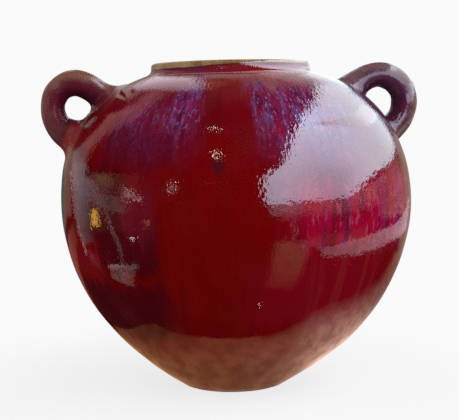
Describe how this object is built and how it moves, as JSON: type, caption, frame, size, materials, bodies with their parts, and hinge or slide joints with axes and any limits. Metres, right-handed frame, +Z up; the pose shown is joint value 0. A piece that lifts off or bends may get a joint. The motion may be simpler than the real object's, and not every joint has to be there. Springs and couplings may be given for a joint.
{
  "type": "two-handled jar",
  "caption": "Globular glazed stoneware jar with a short upright collar, a wide open mouth and a loop handle on each shoulder, for holding or displaying things.",
  "frame": {"origin": "on the standing surface, below the middle of the jar's overall box", "axes": "+Z up along the jar's axis; the two handles lie along X, the slightly larger loop at +X; -Y is the front"},
  "size_m": [0.3046, 0.2766, 0.2558],
  "materials": {
    "foot_clay": "bare fired clay, matt, smoothed",
    "bowl_glaze": "high gloss ox-blood glaze with fine vertical runs",
    "shoulder_glaze": "high gloss flambe glaze, crimson to purple with blue streaks",
    "collar_glaze": "high gloss maroon glaze",
    "lip_glaze": "gloss glaze run thin to olive and tan",
    "handle_glaze": "high gloss maroon glaze, thin and brown along the edges"
  },
  "bodies": {
    "root": {"foot_ring": "foot_clay", "lower_bowl": "bowl_glaze", "upper_dome": "shoulder_glaze", "neck_collar": "collar_glaze", "rim_lip": "lip_glaze", "handle_left": "handle_glaze", "handle_right": "handle_glaze"}
  },
  "joints": []
}
